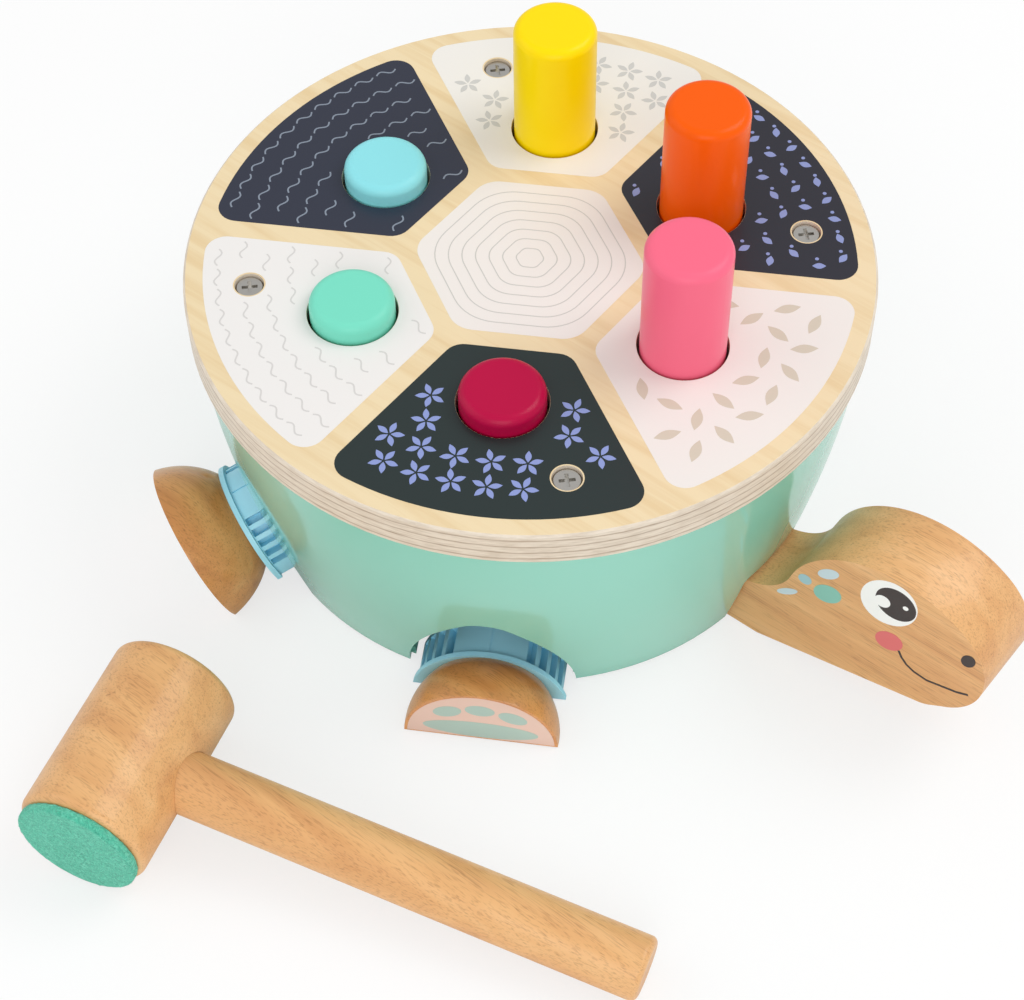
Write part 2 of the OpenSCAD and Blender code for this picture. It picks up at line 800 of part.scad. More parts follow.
module rear_foot() {
  leg_tilt(rear_rake) foot(rear_face_r, rear_neck_r, rear_face_rise, rear_rake, rear_face_rise);
}

module front_right_foot() {
  color("Peru") limb_out(front_right_az) front_foot();
}

module rear_right_foot() {
  color("Peru") limb_out(rear_right_az) rear_foot();
}

module front_left_foot() {
  color("Peru") limb_in(front_left_az) front_foot();
}

module rear_left_foot() {
  color("Peru") limb_in(rear_left_az) rear_foot();
}

module front_foot_screws() {
  foot_screw_places(front_screw_up) screw(hub_len + foot_screw_len);
}

module rear_foot_screws() {
  leg_tilt(rear_rake) foot_screw_places(rear_face_rise) screw(hub_len + foot_screw_len);
}

module left_foot_screws() {
  color("Silver") {
    limb_out(rear_right_az) rear_foot_screws();
    limb_in(front_left_az) front_foot_screws();
  }
}

module right_foot_screws() {
  color("Silver") {
    limb_out(front_right_az) front_foot_screws();
    limb_in(rear_left_az) rear_foot_screws();
  }
}

// Side of the head: a wide crown, the round of the nose that touches it from inside, chin and jaw
module head_outline() {
  brow = atan2(nose.y - crown.y, nose.x - crown.x);
  span = atan2(dip.y - crown.y, dip.x - crown.x) - brow;
  difference() {
    union() {
      translate([neck_back, floor_gap]) square([jaw_reach - neck_back, neck_h - floor_gap]);
      band(chin, chin_r, jaw, heel_r);
      band(nose, nose_r + bite, chin, chin_r);
      intersection() {
        translate(crown) circle(crown_r);
        polygon(concat([crown], [for (a = [brow, brow + span / 2, brow + span])
          crown + 2 * crown_r * [cos(a), sin(a)]]));
      }
      polygon([jaw, chin, nose, crown, nape, [dip.x, neck_h], [jaw_reach, neck_h]]);
    }
    translate(dip) circle(dip_r + bite);
  }
}

module head() {
  color("Wheat") limb_in(head_az) difference() {
    board(head_t) head_outline();
    tongue_cut(head_tier, neck_back);
  }
}

module tail_outline() {
  root = [tail_root_reach, neck_h - tail_root_r];
  tip = [tail_reach - tail_tip_r, tail_tip_up];
  translate([neck_back, floor_gap]) square([heel_reach - neck_back, neck_h - floor_gap]);
  band(root, tail_root_r, tip, tail_tip_r);
  band(tip, tail_tip_r, heel, heel_r);
  polygon([heel, tip, root, [tail_root_reach, neck_h], [heel_reach, neck_h]]);
}

module tail() {
  color("Wheat") limb_out(tail_az) difference() {
    board(head_t) tail_outline();
    tongue_cut(head_tier, neck_back);
  }
}

module peg(az, height) {
  rotate([0, 0, az]) translate([peg_circle_r, 0, deck_top + height - peg_len])
    rounded_bar(peg_d / 2, peg_len, peg_round);
}

module yellow_peg() {
  color("Gold") peg(rear_left_az, peg_up);
}

module orange_peg() {
  color("Tomato") peg(front_left_az, peg_up);
}

module pink_peg() {
  color("Pink") peg(head_az, peg_up);
}

module raspberry_peg() {
  color("Crimson") peg(front_right_az, peg_down);
}

module mint_peg() {
  color("PaleGreen") peg(rear_right_az, peg_down);
}

module aqua_peg() {
  color("DarkTurquoise") peg(tail_az, peg_down);
}

// The mallet lies on the floor on its head and on the end of its handle
module mallet_place() {
  translate([mallet_x, -mallet_out, mallet_d / 2]) rotate([0, 0, mallet_turn]) rotate([0, handle_dip, 0])
    children();
}

module mallet_head() {
  color("BurlyWood") mallet_place() difference() {
    rotate([90, 0, 0]) translate([0, 0, -mallet_len / 2]) rounded_bar(mallet_d / 2, mallet_len, mallet_round);
    bar_x(handle_d / 2 + seat_gap, -handle_in, mallet_d);
  }
}

module mallet_handle() {
  color("BurlyWood") mallet_place() translate([-handle_in, 0, 0]) rotate([0, 90, 0])
    rounded_bar(handle_d / 2, handle_in + handle_reach, handle_round);
}

module felt_pad() {
  color("SeaGreen") mallet_place() translate([0, -mallet_len / 2 - felt_t, 0])
    rotate([-90, 0, 0]) cylinder(d = felt_d, h = felt_t);
}

deck();
deck_screws();
shell();
base_plate();
base_screws();
rocker_stand();
stand_screws();
guide_caps();
head_pivot_pin();
left_pivot_pin();
right_pivot_pin();
head_rocker();
left_rocker();
right_rocker();
head_bar();
left_bar();
right_bar();
head_bar_screws();
left_bar_screws();
right_bar_screws();
front_right_hub();
rear_right_hub();
front_left_hub();
rear_left_hub();
front_right_foot();
rear_right_foot();
front_left_foot();
rear_left_foot();
left_foot_screws();
right_foot_screws();
head();
tail();
yellow_peg();
orange_peg();
pink_peg();
raspberry_peg();
mint_peg();
aqua_peg();
mallet_head();
mallet_handle();
felt_pad();
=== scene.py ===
import json
import math
import bmesh
import bpy
from mathutils import Matrix, Vector, noise


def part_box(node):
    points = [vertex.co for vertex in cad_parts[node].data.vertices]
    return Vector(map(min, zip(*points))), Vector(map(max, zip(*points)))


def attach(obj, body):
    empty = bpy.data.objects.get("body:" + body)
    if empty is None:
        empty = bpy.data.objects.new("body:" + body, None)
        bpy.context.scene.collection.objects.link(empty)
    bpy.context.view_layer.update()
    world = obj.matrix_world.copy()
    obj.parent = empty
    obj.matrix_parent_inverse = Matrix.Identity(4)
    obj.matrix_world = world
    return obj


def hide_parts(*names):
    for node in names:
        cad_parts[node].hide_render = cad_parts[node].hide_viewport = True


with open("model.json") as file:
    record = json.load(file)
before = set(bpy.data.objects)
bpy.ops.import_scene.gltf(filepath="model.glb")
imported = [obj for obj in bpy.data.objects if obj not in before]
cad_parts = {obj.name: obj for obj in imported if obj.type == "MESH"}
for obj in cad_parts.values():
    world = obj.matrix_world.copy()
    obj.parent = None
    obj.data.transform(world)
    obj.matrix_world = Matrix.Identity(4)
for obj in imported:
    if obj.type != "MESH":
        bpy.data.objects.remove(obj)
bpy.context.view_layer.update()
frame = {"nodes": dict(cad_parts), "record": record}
nodes = frame["nodes"]
mm = 0.001
black = (0, 0, 0)
white = (1, 1, 1)
coatRough = 0.08  # the same clear coat on all that has one


# screen colour to linear light
def linear(color):
    return tuple(c / 12.92 if c <= 0.04045 else ((c + 0.055) / 1.055) ** 2.4 for c in color) + (1.0,)


def shaderOf(material):
    return material.node_tree.nodes["Principled BSDF"]


def newMaterial(name, color, rough, coat=0.0, metal=0.0, specular=0.5):
    material = bpy.data.materials.new(name)
    material.use_nodes = True
    shader = shaderOf(material)
    shader.inputs["Base Color"].default_value = linear(color)
    shader.inputs["Roughness"].default_value = rough
    shader.inputs["Coat Weight"].default_value = coat
    shader.inputs["Coat Roughness"].default_value = coatRough
    shader.inputs["Metallic"].default_value = metal
    shader.inputs["Specular IOR Level"].default_value = specular
    return material


def addNode(material, kind, **values):
    node = material.node_tree.nodes.new(kind)
    for key, value in values.items():
        setattr(node, key, value)
    return node


def join(material, a, b):
    material.node_tree.links.new(a, b)


# noise on the object's own coordinates, stretched along its axes; the turn only picks another pattern
def noiseTint(material, turn, stretch, detail, rough, distort=0.0):
    coords = addNode(material, "ShaderNodeTexCoord")
    place = addNode(material, "ShaderNodeMapping")
    place.inputs["Rotation"].default_value = turn
    place.inputs["Scale"].default_value = stretch
    join(material, coords.outputs["Object"], place.inputs["Vector"])
    node = addNode(material, "ShaderNodeTexNoise")
    node.inputs["Scale"].default_value = 1.0
    node.inputs["Detail"].default_value = detail
    node.inputs["Roughness"].default_value = rough
    node.inputs["Distortion"].default_value = distort
    join(material, place.outputs["Vector"], node.inputs["Vector"])
    return node.outputs["Fac"]


def ramp(material, fac, stops):
    node = addNode(material, "ShaderNodeValToRGB")
    while len(node.color_ramp.elements) < len(stops):
        node.color_ramp.elements.new(0.5)  # its place is set below
    for element, (at, color) in zip(node.color_ramp.elements, stops):
        element.position = at
        element.color = linear(color)
    join(material, fac, node.inputs["Fac"])
    return node.outputs["Color"]


# a and b are sockets or colours, the factor a socket or a number
def mixed(material, fac, a, b, kind="MIX"):
    sockets = {"fac": 0, "a": 6, "b": 7, "result": 2}  # the colour sockets of a mix node
    node = addNode(material, "ShaderNodeMix", data_type="RGBA", blend_type=kind)
    for key, source in (("fac", fac), ("a", a), ("b", b)):
        socket = node.inputs[sockets[key]]
        if isinstance(source, (int, float)):
            socket.default_value = source
        elif isinstance(source, tuple):
            socket.default_value = linear(source)
        else:
            join(material, source, socket)
    return node.outputs[sockets["result"]]


def bump(material, height, strength, distance):
    node = addNode(material, "ShaderNodeBump")
    node.inputs["Strength"].default_value = strength
    node.inputs["Distance"].default_value = distance
    join(material, height, node.inputs["Height"])
    join(material, node.outputs["Normal"], shaderOf(material).inputs["Normal"])


def base(material, color):
    join(material, color, shaderOf(material).inputs["Base Color"])


# wood: long soft bands, short ray flecks and fine pores, all along the object's X
def woodMaterial(name, s, turn):
    grain = {"bands": (9, 90, 90), "flecks": (180, 1300, 1300), "pores": (70, 2600, 2600),
             "poreTint": (0.86, 0.84, 0.82), "poreShare": 0.8, "dent": 0.08, "dentDepth": 0.2 * mm}
    material = newMaterial(name, s["mid"], s["rough"], s["coat"], specular=0.4)
    bands = noiseTint(material, turn, grain["bands"], detail=4.0, rough=0.55, distort=0.6)
    flecks = noiseTint(material, turn, grain["flecks"], detail=2.0, rough=0.4)
    pores = noiseTint(material, turn, grain["pores"], detail=2.0, rough=0.5)
    color = ramp(material, bands, [(0.3, s["dark"]), (0.52, s["mid"]), (0.75, s["light"])])
    fleckMask = ramp(material, flecks, [(0.60, black), (0.70, white)])
    color = mixed(material, fleckMask, color, mixed(material, s["fleck"], color, s["fleckColor"]))
    poreMask = ramp(material, pores, [(0.30, grain["poreTint"]), (0.48, white)])
    base(material, mixed(material, grain["poreShare"], color, poreMask, "MULTIPLY"))
    bump(material, pores, grain["dent"], grain["dentDepth"])
    return material


print("materials")
beechLook = {"dark": (0.84, 0.61, 0.39), "mid": (0.90, 0.69, 0.46), "light": (0.93, 0.74, 0.52),
             "rough": 0.42, "coat": 0.15, "fleck": 0.3, "fleckColor": (0.66, 0.44, 0.26)}
footLook = {"dark": (0.80, 0.52, 0.28), "mid": (0.89, 0.62, 0.36), "light": (0.92, 0.68, 0.43),
            "rough": 0.3, "coat": 0.3, "fleck": 0.25, "fleckColor": (0.56, 0.33, 0.16)}
malletTurn = math.radians(15.3)  # the mallet's lie on the floor
headWood = woodMaterial("headWood", beechLook, (0, 0, 0))
handleWood = woodMaterial("handleWood", beechLook, (0, 0, -malletTurn))
malletWood = woodMaterial("malletWood", beechLook, (0, 0, -malletTurn - math.pi / 2))
footWood = woodMaterial("footWood", footLook, (0, 0, math.radians(30)))


# plywood: pale face on top, thin plies on the edge
def plywoodMaterial():
    s = {"face": (0.93, 0.85, 0.69), "faceDark": (0.90, 0.80, 0.62), "ply": (0.90, 0.85, 0.78),
         "plyDark": (0.70, 0.61, 0.52), "streakDark": (0.75, 0.7, 0.64), "streakShare": 0.35,
         "grain": (12, 220, 220), "grainTurn": (0, 0, 0.5), "wobble": (60, 60, 300),
         "streaks": (160, 160, 1400), "plies": 9, "thick": 12 * mm, "faceFrom": 91.93 * mm}
    material = newMaterial("plywood", s["face"], rough=0.5, coat=0.1)
    coords = addNode(material, "ShaderNodeTexCoord")
    split = addNode(material, "ShaderNodeSeparateXYZ")
    join(material, coords.outputs["Object"], split.inputs["Vector"])
    grain = noiseTint(material, s["grainTurn"], s["grain"], detail=4.0, rough=0.6, distort=0.4)
    face = ramp(material, grain, [(0.35, s["faceDark"]), (0.55, s["face"])])
    wobble = noiseTint(material, (0, 0, 0), s["wobble"], detail=3.0, rough=0.6)
    height = addNode(material, "ShaderNodeMath", operation="MULTIPLY_ADD")
    height.inputs[1].default_value = s["plies"] / s["thick"]
    join(material, split.outputs["Z"], height.inputs[0])
    join(material, wobble, height.inputs[2])
    wave = addNode(material, "ShaderNodeMath", operation="PINGPONG")
    wave.inputs[1].default_value = 1.0
    join(material, height.outputs[0], wave.inputs[0])
    edge = ramp(material, wave.outputs[0], [(0.0, s["plyDark"]), (0.28, s["ply"]), (1.0, s["ply"])])
    streaks = noiseTint(material, (0, 0, 0), s["streaks"], detail=3.0, rough=0.6)
    streakMask = ramp(material, streaks, [(0.35, s["streakDark"]), (0.6, white)])
    edge = mixed(material, s["streakShare"], edge, streakMask, "MULTIPLY")
    onTop = addNode(material, "ShaderNodeMath", operation="GREATER_THAN")
    onTop.inputs[1].default_value = s["faceFrom"]
    join(material, split.outputs["Z"], onTop.inputs[0])
    base(material, mixed(material, onTop.outputs[0], edge, face))
    return material


# felt: short tangled fibres
def feltMaterial():
    s = {"color": (0.36, 0.87, 0.73), "dark": (0.25, 0.73, 0.60), "light": (0.56, 0.96, 0.85),
         "fibres": (900, 900, 900), "dent": 0.9, "dentDepth": 1.2 * mm, "sheen": 0.3}
    material = newMaterial("felt", s["color"], rough=0.95, specular=0.1)
    fibres = noiseTint(material, (0, 0, 0), s["fibres"], detail=6.0, rough=0.75, distort=1.5)
    base(material, ramp(material, fibres, [(0.36, s["dark"]), (0.5, s["color"]), (0.66, s["light"])]))
    bump(material, fibres, s["dent"], s["dentDepth"])
    shaderOf(material).inputs["Sheen Weight"].default_value = s["sheen"]
    return material


slotLook = {
    "plywood": plywoodMaterial(),
    "felt": feltMaterial(),
    "shell_plastic": newMaterial("shellPlastic", (0.53, 0.82, 0.74), rough=0.14, coat=0.5, specular=0.7),
    "base_plastic": newMaterial("basePlastic", (0.47, 0.76, 0.68), rough=0.4),
    "inner_plastic": newMaterial("innerPlastic", (0.74, 0.78, 0.82), rough=0.45),
    "hub_plastic": newMaterial("hubPlastic", (0.66, 0.92, 1.0), rough=0.32),
    "steel": newMaterial("steel", (0.78, 0.77, 0.75), rough=0.28, metal=1.0),
    "foot_wood": footWood,
    "beech": headWood,
}
pegColors = {"yellow": (1.0, 0.87, 0.0), "orange": (0.97, 0.37, 0.0), "pink": (0.97, 0.43, 0.54),
             "raspberry": (0.72, 0.04, 0.26), "mint": (0.48, 0.87, 0.77), "aqua": (0.56, 0.88, 0.91)}
for name, color in pegColors.items():
    slotLook[name + "_paint"] = newMaterial(name + "Paint", color, rough=0.3, coat=0.04, specular=0.14)

print("frame pieces")
nodeLook = {"mallet_head": malletWood, "mallet_handle": handleWood}
for part in frame["record"]["subparts"]:
    node = nodes[part["node"]]
    node.data.materials.clear()
    node.data.materials.append(nodeLook.get(part["node"], slotLook[part["material_slot"]]))

# sanded edges of the wooden limbs
sanded = {"board": 1.2, "foot": 0.7, "weld": 0.001, "segments": 3, "sharpFrom": math.radians(40)}
sandedNodes = {"head": "board", "tail": "board", "front_right_foot": "foot", "rear_right_foot": "foot",
               "front_left_foot": "foot", "rear_left_foot": "foot"}
for name, kind in sandedNodes.items():
    weld = nodes[name].modifiers.new("weld", "WELD")
    weld.merge_threshold = sanded["weld"] * mm
    soft = nodes[name].modifiers.new("edges", "BEVEL")
    soft.width = sanded[kind] * mm
    soft.segments = sanded["segments"]
    soft.limit_method = "ANGLE"
    soft.angle_limit = sanded["sharpFrom"]
    soft.harden_normals = True


# felt disc: a profile spun round, then pushed about by noise
def feltPad():
    s = {"r": 18.0, "thick": 3.0, "edge": 0.9, "edgeSteps": 4, "rings": 26, "around": 120, "weld": 0.001,
         "rough": 0.22, "coarse": 2.1, "fine": 5.3, "fineShare": 0.6, "faceDepth": 0.2}
    bm = bmesh.new()
    half = s["thick"] / 2
    profile = [(s["r"] * k / s["rings"], half) for k in range(s["rings"])]
    for k in range(1, s["edgeSteps"] + 1):
        a = k * math.pi / 2 / s["edgeSteps"]
        out, up = s["edge"] * math.sin(a), s["edge"] * math.cos(a)
        profile.append((s["r"] - s["edge"] + out, half - s["edge"] + up))
    profile += [(x, -z) for x, z in reversed(profile)]
    verts = [bm.verts.new((x, 0, z)) for x, z in profile]
    edges = [bm.edges.new(pair) for pair in zip(verts, verts[1:])]
    bmesh.ops.spin(bm, geom=verts + edges, cent=(0, 0, 0), axis=(0, 0, 1), angle=2 * math.pi,
                   steps=s["around"], use_merge=True)
    bmesh.ops.remove_doubles(bm, verts=bm.verts, dist=s["weld"])
    bmesh.ops.recalc_face_normals(bm, faces=bm.faces)
    for vert in bm.verts:
        shake = noise.noise(vert.co * s["coarse"]) + s["fineShare"] * noise.noise(vert.co * s["fine"])
        most = 0.0 if vert.co.z > half - s["faceDepth"] else s["rough"]  # the outer face only sinks
        vert.co += vert.normal * min(shake * s["rough"], most)
    low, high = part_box("felt_pad")
    middle = (low + high) / 2
    aim = Vector((math.sin(malletTurn), -math.cos(malletTurn), 0))
    place = Matrix.Translation(middle) @ aim.to_track_quat("Z", "Y").to_matrix().to_4x4()
    for vert in bm.verts:
        vert.co = place @ (vert.co * mm)
    for face in bm.faces:
        face.smooth = True
    return bm


# flat printed shape: outlines in millimetres are filled, made solid, then set in place
def addShape(bm, loops, low, high, place, slot=0):
    edges = []
    for loop in loops:
        ring = [bm.verts.new((u, v, low)) for u, v in loop]
        edges += [bm.edges.new((ring[i], ring[(i + 1) % len(ring)])) for i in range(len(ring))]
    filled = bmesh.ops.triangle_fill(bm, edges=edges, use_beauty=True)
    faces = [g for g in filled["geom"] if isinstance(g, bmesh.types.BMFace)]
    raised = bmesh.ops.extrude_face_region(bm, geom=faces)["geom"]
    top = [g for g in raised if isinstance(g, bmesh.types.BMVert)]
    for vert in top:
        vert.co.z = high
    mine = {v for f in faces for v in f.verts} | set(top)
    solid = {f for v in mine for f in v.link_faces}
    bmesh.ops.recalc_face_normals(bm, faces=list(solid))
    for face in solid:
        face.material_index = slot
    for vert in mine:
        vert.co = place @ (vert.co * mm)


def newPiece(name, bm, materials, body):
    mesh = bpy.data.meshes.new(name)
    bm.to_mesh(mesh)
    bm.free()
    for material in materials:
        mesh.materials.append(material)
    piece = bpy.data.objects.new(name, mesh)
    bpy.context.scene.collection.objects.link(piece)
    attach(piece, body)
    return piece


# points turned about their origin, then moved to u, v
def turned(points, u, v, turn):
    c, s = math.cos(turn), math.sin(turn)
    return [(u + p * c - q * s, v + p * s + q * c) for p, q in points]


def ellipse(u, v, a, b, turn, steps=40):
    angles = [2 * math.pi * i / steps for i in range(steps)]
    return turned([(a * math.cos(t), b * math.sin(t)) for t in angles], u, v, turn)


def circle(u, v, r, steps=40):
    return ellipse(u, v, r, r, 0, steps)


# the width is from the middle line to one side
def leaf(u, v, length, width, turn, steps=8):
    side = [(length * (i / steps - 0.5), width * math.sin(math.pi * i / steps)) for i in range(steps + 1)]
    return turned(side + [(p, -q) for p, q in reversed(side[1:-1])], u, v, turn)


# outline of a line of points drawn with a width
def stroke(points, width):
    left, right = [], []
    for i, (u, v) in enumerate(points):
        a, b = points[max(i - 1, 0)], points[min(i + 1, len(points) - 1)]
        d = math.hypot(b[0] - a[0], b[1] - a[1])
        n = (-(b[1] - a[1]) / d * width / 2, (b[0] - a[0]) / d * width / 2)
        left.append((u + n[0], v + n[1]))
        right.append((u - n[0], v - n[1]))
    return left + right[::-1]


# convex outline with round corners; the middles of the rounds are given, steps are those of a right angle
def rounded(middles, r, steps=8):
    outline = []
    count = len(middles)
    for i in range(count):
        a, b, c = middles[i - 1], middles[i], middles[(i + 1) % count]
        start = math.atan2(b[1] - a[1], b[0] - a[0]) - math.pi / 2
        turn = (math.atan2(c[1] - b[1], c[0] - b[0]) - math.pi / 2 - start) % (2 * math.pi)
        bits = max(1, round(steps * turn / (math.pi / 2)))
        for k in range(bits + 1):
            angle = start + turn * k / bits
            outline.append((b[0] + r * math.cos(angle), b[1] + r * math.sin(angle)))
    return outline


print("felt")
pad = newPiece("felt_disc", feltPad(), [slotLook["felt"]], "mallet_body")
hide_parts("felt_pad")

# all prints: the first ink starts under the surface, and a second one lies over it
ink = {"under": -0.05, "thick": 0.06, "second": 0.06 + 0.03}

print("deck print")
deckPrint = {"top": 92.0, "strip": 6.4, "inner": 35.0, "outer": 94.3, "round": 6.0, "arcSteps": 10,
             "pegAt": 54.25, "pegHole": 13.15, "pegSteps": 72, "screwAt": 81.0, "screwHole": 4.7,
             "screwAzs": (45, -45, 135, -135), "halfPanel": math.radians(30), "rough": 0.34}
motifLook = {"size": {"leaf": 8.0, "petal": 8.0, "drop": 6.5, "wave": 6.5}, "firstRow": 6.0, "rowStep": 1.08,
             "apart": 1.12, "leastInRow": 3, "clear": 0.6, "turnStep": 0.9}
panels = [
    {"name": "pink", "az": 0, "ground": (0.93, 0.91, 0.89), "ink": (0.83, 0.79, 0.72), "motif": "leaf"},
    {"name": "orange", "az": 60, "ground": (0.13, 0.13, 0.18), "ink": (0.55, 0.60, 0.80), "motif": "drop"},
    {"name": "yellow", "az": 120, "ground": (0.93, 0.92, 0.90), "ink": (0.80, 0.80, 0.79), "motif": "petal"},
    {"name": "aqua", "az": 180, "ground": (0.15, 0.17, 0.24), "ink": (0.52, 0.56, 0.62), "motif": "wave"},
    {"name": "mint", "az": 240, "ground": (0.93, 0.92, 0.91), "ink": (0.84, 0.83, 0.82), "motif": "wave"},
    {"name": "raspberry", "az": 300, "ground": (0.1, 0.16, 0.16), "ink": (0.55, 0.61, 0.83), "motif": "petal"},
]


# a panel is drawn on the X axis, and its place turns it to its azimuth
def panelOutline(s):
    r = s["round"]
    inner, outer, gap = s["inner"] + r, s["outer"] - r, s["strip"] / 2 + r
    half = s["halfPanel"]
    side = inner * math.tan(half) - gap / math.cos(half)
    reach = half - math.asin(gap / outer)
    steps = s["arcSteps"]
    angles = [reach * k / steps for k in range(-steps, steps + 1)]
    arc = [(outer * math.cos(a), outer * math.sin(a)) for a in angles]
    return rounded([(inner, side), (inner, -side)] + arc, r)


def panelScrews(s, panelAz):
    spots = []
    for az in s["screwAzs"]:
        off = math.radians((az - panelAz + 180) % 360 - 180)
        if abs(off) < s["halfPanel"]:
            spots.append((s["screwAt"] * math.cos(off), s["screwAt"] * math.sin(off)))
    return spots


def inPanel(s, u, v, margin, screws):
    half = s["halfPanel"]
    side = u * math.tan(half) - s["strip"] / 2 / math.cos(half) - margin / math.cos(half)
    clear = math.hypot(u - s["pegAt"], v) > s["pegHole"] + margin
    clear = clear and all(math.hypot(u - p, v - q) > s["screwHole"] + margin for p, q in screws)
    return clear and u > s["inner"] + margin and abs(v) < side and math.hypot(u, v) < s["outer"] - margin


# one motif, with its lines and leaves as shares of its size
def motifLoops(kind, u, v, turn, size):
    m = {"leafWidth": 0.2, "bud": (0.62, 0.17), "dotAt": (0.1, 0.42), "dot": 0.09, "dotSteps": 12,
         "waveHeight": 0.14, "waveLine": 0.075, "waveSteps": 10,
         "petals": 5, "petalAt": 0.3, "petal": (0.5, 0.11)}
    if kind == "leaf":
        return [leaf(u, v, size, size * m["leafWidth"], turn)]
    if kind == "drop":
        bud = leaf(u, v, size * m["bud"][0], size * m["bud"][1], turn)
        dotU, dotV = u + size * m["dotAt"][0], v + size * m["dotAt"][1]
        return [bud, circle(dotU, dotV, size * m["dot"], m["dotSteps"])]
    if kind == "wave":
        steps = m["waveSteps"]
        path = [(size * (k / steps - 0.5), size * m["waveHeight"] * math.sin(2 * math.pi * k / steps))
                for k in range(steps + 1)]
        return [stroke(turned(path, u, v, turn), size * m["waveLine"])]
    out, length, width = size * m["petalAt"], size * m["petal"][0], size * m["petal"][1]
    loops = []
    for k in range(m["petals"]):
        a = turn + k * 2 * math.pi / m["petals"]
        loops.append(leaf(u + out * math.cos(a), v + out * math.sin(a), length, width, a))
    return loops


# staggered rows of one motif, left out where it would meet an edge, a peg or a screw
def panelMotifs(s, kind, screws):
    m = motifLook
    size = m["size"][kind]
    loops = []
    row = 0
    radius = s["inner"] + m["firstRow"]
    while radius < s["outer"]:
        count = max(m["leastInRow"], int(2 * radius * s["halfPanel"] / (size * m["apart"])))
        for k in range(count + 1):
            angle = 2 * s["halfPanel"] * ((k + 0.5 * (row % 2)) / count - 0.5)
            u, v = radius * math.cos(angle), radius * math.sin(angle)
            if inPanel(s, u, v, size * m["clear"], screws):
                turn = angle + (math.pi / 2 if kind == "wave" else (k + row) * m["turnStep"])
                loops += motifLoops(kind, u, v, turn, size)
        radius += size * m["rowStep"]
        row += 1
    return loops


deckPlace = Matrix.Translation((0, 0, deckPrint["top"] * mm))
for panel in panels:
    s = deckPrint
    place = deckPlace @ Matrix.Rotation(math.radians(panel["az"]), 4, "Z")
    screws = panelScrews(s, panel["az"])
    holes = [circle(s["pegAt"], 0, s["pegHole"], s["pegSteps"])]
    holes += [circle(p, q, s["screwHole"]) for p, q in screws]
    groundPaint = newMaterial(panel["name"] + "Ground", panel["ground"], s["rough"])
    motifPaint = newMaterial(panel["name"] + "Ink", panel["ink"], s["rough"])
    bm = bmesh.new()
    addShape(bm, [panelOutline(s)] + holes, ink["under"], ink["thick"], place)
    newPiece("panel_" + panel["name"], bm, [groundPaint], "body")
    bm = bmesh.new()
    for loop in panelMotifs(s, panel["motif"], screws):
        addShape(bm, [loop], 0.0, ink["second"], place)
    newPiece("motif_" + panel["name"], bm, [motifPaint], "body")

centre = {"apothem": 29.5, "round": 8.0, "steps": 12, "ground": (0.93, 0.91, 0.89), "ink": (0.80, 0.79, 0.77),
          "rings": 8, "line": 0.32, "ringRound": 0.55, "ringRoundInside": 0.54}


def hexOutline(apothem, r):
    inset = (apothem - r) / math.cos(math.pi / 6)
    angles = [math.radians(30 + 60 * k) for k in range(6)]
    return rounded([(inset * math.cos(a), inset * math.sin(a)) for a in angles], r, centre["steps"])


bm = bmesh.new()
addShape(bm, [hexOutline(centre["apothem"], centre["round"])], ink["under"], ink["thick"], deckPlace)
centreGround = newMaterial("centreGround", centre["ground"], deckPrint["rough"])
newPiece("panel_centre", bm, [centreGround], "body")
bm = bmesh.new()
for k in range(1, centre["rings"]):
    a = centre["apothem"] * k / centre["rings"]
    outside = hexOutline(a + centre["line"] / 2, a * centre["ringRound"])
    inside = hexOutline(a - centre["line"] / 2, a * centre["ringRoundInside"])
    addShape(bm, [outside, inside], 0.0, ink["second"], deckPlace)
centreInk = newMaterial("centreInk", centre["ink"], deckPrint["rough"])
newPiece("motif_centre", bm, [centreInk], "body")

print("face")
face = {"side": 12.0, "layer": 0.02, "line": 0.8, "rough": 0.4}
faceColors = {"white": (0.97, 0.97, 0.96), "dark": (0.18, 0.13, 0.13), "cheek": (0.87, 0.42, 0.42),
              "pale": (0.78, 0.85, 0.88), "blue": (0.62, 0.77, 0.80), "green": (0.52, 0.76, 0.70)}
facePaint = {key: newMaterial("face" + key.capitalize(), color, face["rough"])
             for key, color in faceColors.items()}
# colour, layer and outline; u is along X from the body's axis and v up from the floor
faceShapes = [
    ("white", 0, ellipse(135.6, 50.9, 10.6, 8.2, 1.02)),  # eye
    ("dark", 1, ellipse(137.7, 52.1, 6.9, 6.2, 0.9)),
    ("white", 2, ellipse(133.6, 50.2, 2.8, 2.3, 0.9)),  # its two highlights
    ("white", 2, ellipse(140.8, 53.0, 1.0, 0.8, 0.9)),
    ("cheek", 0, ellipse(137.9, 34.3, 4.9, 3.7, 0.75)),
    ("dark", 0, ellipse(162.0, 46.2, 3.0, 2.0, 1.2)),  # nostril
    ("pale", 0, ellipse(103.8, 29.0, 4.3, 1.2, 0.72)),  # spots on the neck
    ("blue", 0, ellipse(108.9, 39.4, 2.4, 2.0, 0.8)),
    ("pale", 0, ellipse(115.9, 47.9, 4.2, 1.9, 0.75)),
    ("green", 0, ellipse(116.6, 38.8, 5.2, 3.5, 0.75)),
]
smile = [(141.4, 32.6), (142.6, 30.4), (144.6, 28.4), (147.2, 27.2),
         (151.5, 26.8), (156.2, 28.2), (160.9, 29.6), (164.4, 31.4)]
faceShapes.append(("dark", 0, stroke(smile, face["line"])))
paintOrder = list(facePaint)
